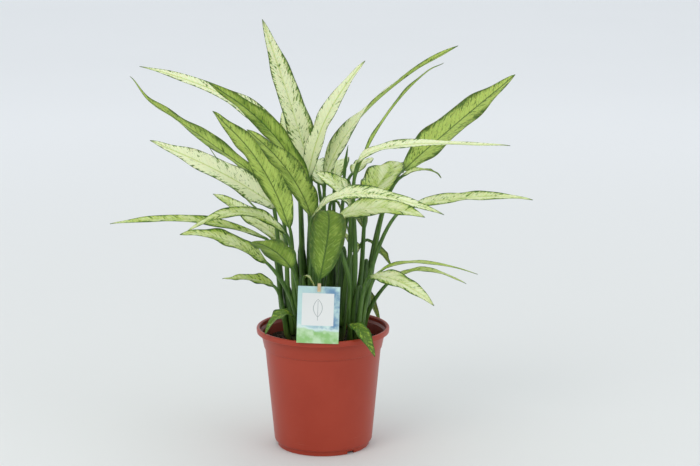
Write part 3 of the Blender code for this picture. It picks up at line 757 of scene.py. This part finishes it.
# Heights of the steps in the pot's outline, in millimetres as the outline is.
FOOT_HEIGHT = 7
BAND_HEIGHT = 145
LIP_HEIGHT = 166
LIP_ROUND = 2.5
POT_STEPS = 144
NOTCHES = 3
NOTCH_TURN = 67  # degrees round to the first one
NOTCH_REACH = 64 * MM
NOTCH_SIZE = (12 * MM, 12 * MM, 8 * MM)
DRAINS = 8
DRAIN_TURN = 8
DRAIN_REACH = 48 * MM
DRAIN_RADIUS = 5 * MM
DRAIN_LOW = 5 * MM
DRAIN_HIGH = 11 * MM
DRAIN_SIDES = 24

SOIL_RADIUS = 84.2 * MM
SOIL_BAND_RADIUS = 81.5 * MM
SOIL_BAND_HEIGHT = 143 * MM
SOIL_FLOOR_RADIUS = 69 * MM
SOIL_FLOOR_HEIGHT = 10 * MM
SOIL_RINGS = 58
SOIL_SPOKES = 200
SCATTER_RADIUS = 82 * MM

CARD_WIDTH = 58 * MM
CARD_HEIGHT = 79 * MM
CARD_THICKNESS = 0.6 * MM
CARD_LEAN = math.radians(6)
CARD_ROLL = math.radians(2)
CARD_CURL = 1.2 * MM
CARD_COLUMNS = 24
CARD_ROWS = 32
PICK_ROUNDING = 0.7 * MM


def wedge(name, middle, size, angle):
    """A block cutter, turned about the pot's axis by this angle."""
    turn = Matrix.Rotation(angle, 3, "Z")
    signs = [(x, y, z) for x in (-0.5, 0.5) for y in (-0.5, 0.5) for z in (-0.5, 0.5)]
    points = [turn @ Vector([m + k * d for m, k, d in zip(middle, sign, size)]) for sign in signs]
    faces = [(0, 1, 3, 2), (4, 6, 7, 5), (0, 4, 5, 1), (2, 3, 7, 6), (0, 2, 6, 4), (1, 5, 7, 3)]
    return new_piece(name, points, faces, [], smooth=False)


def drain(name, middle, radius, low, high):
    """A round cutter for one drain hole."""
    rings = []
    for z in (low, high):
        angles = [math.tau * k / DRAIN_SIDES for k in range(DRAIN_SIDES)]
        ways = [Vector((math.cos(a), math.sin(a), 0)) * radius for a in angles]
        rings.append([middle + way + Vector((0, 0, z)) for way in ways])
    return new_piece(name, [p for r in rings for p in r], skin(rings[::-1]), [], smooth=False)


def pot(outside, inside):
    """The CAD pot's outline turned in finer steps, with its notches and drain holes."""
    height, foot, band, lip = LIP_TOP / MM, FOOT_HEIGHT, BAND_HEIGHT, LIP_HEIGHT
    outline = [(62, 0), (65.4, 0), (66, 0.6), (66.6, foot - 0.4), (66.8, foot), (67.8, foot)]
    outline += [(69.7, foot + 1.2), (70.3, foot + 2.6), (70.5, foot + 4)]
    outline += [(82.9, band - 1.2), (83.1, band - 0.8), (84.3, band - 0.3), (84.5, band + 0.3)]
    outline += [(88.6, lip - 1.2), (88.9, lip - 0.3), (89.6, lip), (94, lip), (94.6, lip + 0.5)]
    lip_radius, arc = LIP_RADIUS / MM, LIP_ROUND
    for degrees in range(0, 181, 15):
        angle = math.radians(degrees)
        outline.append((lip_radius - arc + arc * math.cos(angle), height - arc + arc * math.sin(angle)))
    first_inner = len(outline)
    outline += [(90, lip + 1.5), (87.3, lip - 2), (83.1, band), (81.6, band - 1.5)]
    outline += [(69.1, foot + 6), (66.1, foot + 2), (0.01, foot + 2), (0.01, foot), (61.4, foot)]
    rings = []
    for i in range(POT_STEPS):
        angle = math.tau * i / POT_STEPS
        x, y = math.cos(angle), math.sin(angle)
        rings.append([Vector((r * x, r * y, z)) * MM for r, z in outline])
    size = len(outline)
    faces, slots = [], []
    for i in range(POT_STEPS):
        here, after = i * size, (i + 1) % POT_STEPS * size
        for k in range(size):
            j = (k + 1) % size
            faces.append((here + k, after + k, after + j, here + j))
            slots.append(int(first_inner <= k < size - 2))
    piece = new_piece("pot", [p for r in rings for p in r], faces, [outside, inside], slots)
    cutters = []
    for i in range(NOTCHES):
        angle = math.radians(NOTCH_TURN + 360 / NOTCHES * i)
        cutters.append(wedge("notch", (NOTCH_REACH, 0, 0), NOTCH_SIZE, angle))
    for i in range(DRAINS):
        angle = math.radians(DRAIN_TURN + 360 / DRAINS * i)
        middle = Vector((math.cos(angle), math.sin(angle), 0)) * DRAIN_REACH
        cutters.append(drain("drain", middle, DRAIN_RADIUS, DRAIN_LOW, DRAIN_HIGH))
    carve(piece, cutters)
    piece.data.set_sharp_from_angle(angle=math.radians(17))
    belongs(piece, "pot", "pot")


def carve(piece, cutters):
    """Cuts each cutter out of the piece for good, and takes the cutters away."""
    for cutter in cutters:
        made = piece.modifiers.new(cutter.name, "BOOLEAN")
        made.operation = "DIFFERENCE"
        made.solver = "EXACT"
        made.object = cutter
    carved = piece.evaluated_get(bpy.context.evaluated_depsgraph_get())
    mesh = bpy.data.meshes.new_from_object(carved)
    piece.modifiers.clear()
    piece.data = mesh
    for cutter in cutters:
        bpy.data.objects.remove(cutter, do_unlink=True)


def soil_height(x, y):
    mound = SOIL_MOUND * (1 - min(math.hypot(x, y) / 0.083, 1))
    lumps = noise.fractal(Vector((x, y, 0.3)) * 95, 1.0, 2.1, 4) * 2.2 * MM
    return SOIL_LEVEL - 1.5 * MM + mound + lumps


def soil(made):
    """The lumpy surface, and the root ball's plain side below it."""
    rings = []
    for i in range(SOIL_RINGS):
        out = SOIL_RADIUS * (1 - i / (SOIL_RINGS - 1) * 0.998)
        ring = []
        for k in range(SOIL_SPOKES):
            angle = math.tau * k / SOIL_SPOKES
            x, y = out * math.cos(angle), out * math.sin(angle)
            ring.append(Vector((x, y, soil_height(x, y))))
        rings.append(ring)
    rim = rings[0]
    for radius, height in ((SOIL_BAND_RADIUS, SOIL_BAND_HEIGHT), (SOIL_FLOOR_RADIUS, SOIL_FLOOR_HEIGHT)):
        share = radius / SOIL_RADIUS
        rings.insert(0, [Vector((p.x * share, p.y * share, height)) for p in rim])
    piece = new_piece("soil", [p for r in rings for p in r], skin([r[::-1] for r in rings]), [made])
    piece.data.flip_normals()
    belongs(piece, "soil", "soil")


def lump(size, roundness):
    """A small rough stone-like form as rings of points about its middle."""
    rows, around = 5, 7
    offset = Vector(RANDOM.uniform(-50, 50, 3))
    scale = Vector(RANDOM.uniform(0.6, 1.2, 3)) * size
    turn = Matrix.Rotation(RANDOM.uniform(0, math.tau), 3, Vector(RANDOM.normal(size=3)).normalized())
    rings = []
    for i in range(rows):
        polar = math.pi * (i + 0.5) / rows
        ring = []
        for k in range(around):
            angle = math.tau * k / around
            out = math.sin(polar)
            way = Vector((out * math.cos(angle), out * math.sin(angle), -math.cos(polar)))
            rough = 1 + (1 - roundness) * noise.noise(way * 1.6 + offset)
            ring.append(turn @ Vector([a * b * rough for a, b in zip(way, scale)]))
        rings.append(ring)
    return rings


def sliver(length, width):
    """A bent flat fibre or bark chip."""
    turn = Matrix.Rotation(RANDOM.uniform(0, math.tau), 3, "Z")
    turn = turn @ Matrix.Rotation(RANDOM.uniform(-0.5, 0.5), 3, "X")
    bow = RANDOM.uniform(-0.3, 0.3) * length
    rings = []
    for i in range(6):
        t = i / 5 - 0.5
        half = width / 2 * (1 - 3.2 * t * t)
        centre = Vector((t * length, bow * t * t * 4, 0.2 * length * t * t))
        corners = ((0, -half, 0), (0, 0, half * 0.6), (0, half, 0), (0, 0, -half * 0.6))
        rings.append([turn @ (centre + Vector(c)) for c in corners])
    return rings


def scattered(name, count, make, made, smooth):
    """Many small forms lying all over the soil, joined as one piece."""
    points, faces = [], []
    for _ in range(count):
        out, angle = SCATTER_RADIUS * math.sqrt(RANDOM.uniform()), RANDOM.uniform(0, math.tau)
        x, y = out * math.cos(angle), out * math.sin(angle)
        rings = make()
        spot = Vector((x, y, soil_height(x, y) + RANDOM.uniform(0, 1.2) * MM))
        start = len(points)
        points += [spot + p for r in rings for p in r]
        faces += [tuple(start + i for i in face) for face in skin(rings)]
    belongs(new_piece(name, points, faces, [made], smooth=smooth), "soil")


def label(card_made, pick_made):
    """The card, slightly sprung, where the CAD card stands; the CAD pick gets rounded."""
    low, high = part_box("label_card")
    middle = (Vector(low) + Vector(high)) / 2
    turn = Matrix.Rotation(-CARD_LEAN, 4, "X") @ Matrix.Rotation(CARD_ROLL, 4, "Y")
    place = Matrix.Translation(middle) @ turn
    columns, rows = CARD_COLUMNS, CARD_ROWS
    points, share, faces = [], [], []
    for face in (-1, 1):
        for j in range(rows + 1):
            for i in range(columns + 1):
                u, v = i / columns, j / rows
                curl = CARD_CURL * (2 * u - 1) ** 2 * (1 - v)
                depth = face * CARD_THICKNESS / 2 + curl
                points.append(place @ Vector(((u - 0.5) * CARD_WIDTH, depth, (v - 0.5) * CARD_HEIGHT)))
                share.append((u, v))
    line = columns + 1
    sheet = line * (rows + 1)
    for j in range(rows):
        for i in range(columns):
            a = j * line + i
            faces.append((a, a + 1, a + line + 1, a + line))
            faces.append((sheet + a, sheet + a + line, sheet + a + line + 1, sheet + a + 1))
    rim = list(range(line))
    rim += [j * line + columns for j in range(1, rows + 1)]
    rim += [rows * line + i for i in range(columns - 1, -1, -1)]
    rim += [j * line for j in range(rows - 1, 0, -1)]
    for a, b in zip(rim, rim[1:] + rim[:1]):
        faces.append((b, a, sheet + a, sheet + b))
    piece = new_piece("label_card", points, faces, [card_made], smooth=False)
    set_uv(piece, "share", share)
    belongs(piece, "card", "label_card")
    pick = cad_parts["label_pick"]
    pick.data.materials.clear()
    pick.data.materials.append(pick_made)
    rounding = pick.modifiers.new("rounding", "BEVEL")
    rounding.width = PICK_ROUNDING
    rounding.segments = 3
    rounding.angle_limit = math.radians(40)


# ---------------------------------------------------------------- stage

FLOOR_REACH = 11.0  # to where the floor starts to turn up
FLOOR_BEND = 2.0
FLOOR_STEPS = 96
DAYLIGHT = 0.84
LENS = 90
SENSOR = 36
EYE = (0.0386, -2.43, 0.79)
EYE_PITCH = math.radians(11.2)  # down from level


def backdrop(made):
    """A pale round floor whose far edge turns up a little on every side."""
    line = [(0.01, 0.0), (1.0, 0.0), (3.0, 0.0), (6.0, 0.0)]
    for i in range(9):
        angle = math.pi / 2 * i / 8
        line.append((FLOOR_REACH + FLOOR_BEND * math.sin(angle), FLOOR_BEND * (1 - math.cos(angle))))
    rings = []
    for radius, z in line:
        angles = [math.tau * k / FLOOR_STEPS for k in range(FLOOR_STEPS)]
        rings.append([(radius * math.cos(a), radius * math.sin(a), z) for a in angles])
    faces = skin(rings[::-1], closed_ends=False)
    new_piece("studio_backdrop", [p for r in rings[::-1] for p in r], faces, [made])


def area_light(name, place, target, size, power, colour):
    data = bpy.data.lights.new(name, "AREA")
    data.shape = "DISK"
    data.size = size
    data.energy = power
    data.color = colour
    lamp = bpy.data.objects.new(name, data)
    lamp.location = place
    lamp.rotation_euler = (Vector(target) - Vector(place)).to_track_quat("-Z", "Y").to_euler()
    bpy.context.scene.collection.objects.link(lamp)


def studio():
    scene = bpy.context.scene
    scene.view_settings.view_transform = "Standard"
    world = bpy.data.worlds.new("studio")
    world.use_nodes = True
    sky = world.node_tree.nodes["Background"]
    sky.inputs["Color"].default_value = (0.93, 0.97, 1.0, 1)
    sky.inputs["Strength"].default_value = DAYLIGHT
    scene.world = world
    area_light("key", (-1.4, -2.0, 2.6), (0, 0, 0.3), 1.8, 26, (1.0, 0.98, 0.95))
    area_light("fill", (2.2, -1.6, 1.8), (0, 0, 0.3), 2.2, 10, (0.95, 0.98, 1.0))
    area_light("top", (0.2, 0.6, 3.0), (0, 0, 0.2), 2.4, 12, (1.0, 1.0, 1.0))
    data = bpy.data.cameras.new("camera")
    data.lens = LENS
    data.sensor_width = SENSOR
    data.clip_end = 50
    eye = bpy.data.objects.new("camera", data)
    eye.location = EYE
    eye.rotation_euler = (math.pi / 2 - EYE_PITCH, 0, 0)
    scene.collection.objects.link(eye)
    scene.camera = eye


def main():
    upper = blade_material("leaf_upper", under=False)
    lower = blade_material("leaf_under", under=True)
    petiole = stem_material("petiole", STEM_GREEN, STEM_PALE)
    sheath = stem_material("cane_sheath", SHEATH_GREEN, SHEATH_PALE)
    studio()
    backdrop(stage_material())
    pot(pot_material("pot_plastic", False), pot_material("pot_plastic_inside_shaded", True))
    soil(earth_material("potting_soil", (0.012, 0.008, 0.005), (0.05, 0.032, 0.02), 260, 0.0015))
    crumb = earth_material("soil_crumb", (0.014, 0.009, 0.006), (0.07, 0.045, 0.028), 700, 0.0006)
    bark = earth_material("soil_bark", (0.05, 0.028, 0.015), (0.17, 0.10, 0.055), 900, 0.0004)
    perlite = earth_material("perlite", (0.42, 0.40, 0.37), (0.75, 0.74, 0.71), 1200, 0.0004)
    scattered("soil_crumbs", 620, lambda: lump(RANDOM.uniform(0.8, 2.6) * MM, 0.2), crumb, False)
    scattered("soil_bark_chips", 70, lambda: sliver(RANDOM.uniform(5, 13) * MM, 1.9 * MM), bark, False)
    scattered("soil_fibres", 60, lambda: sliver(RANDOM.uniform(8, 20) * MM, 0.5 * MM), bark, True)
    scattered("soil_perlite", 34, lambda: lump(RANDOM.uniform(0.7, 1.6) * MM, 0.5), perlite, True)
    label(card_material(), pick_material())
    for key in CANES:
        cane(key, sheath)
    for number, (key, row) in enumerate(LEAVES.items()):
        leaf(key, row, number, [upper, lower, petiole])
    spear([petiole])


main()
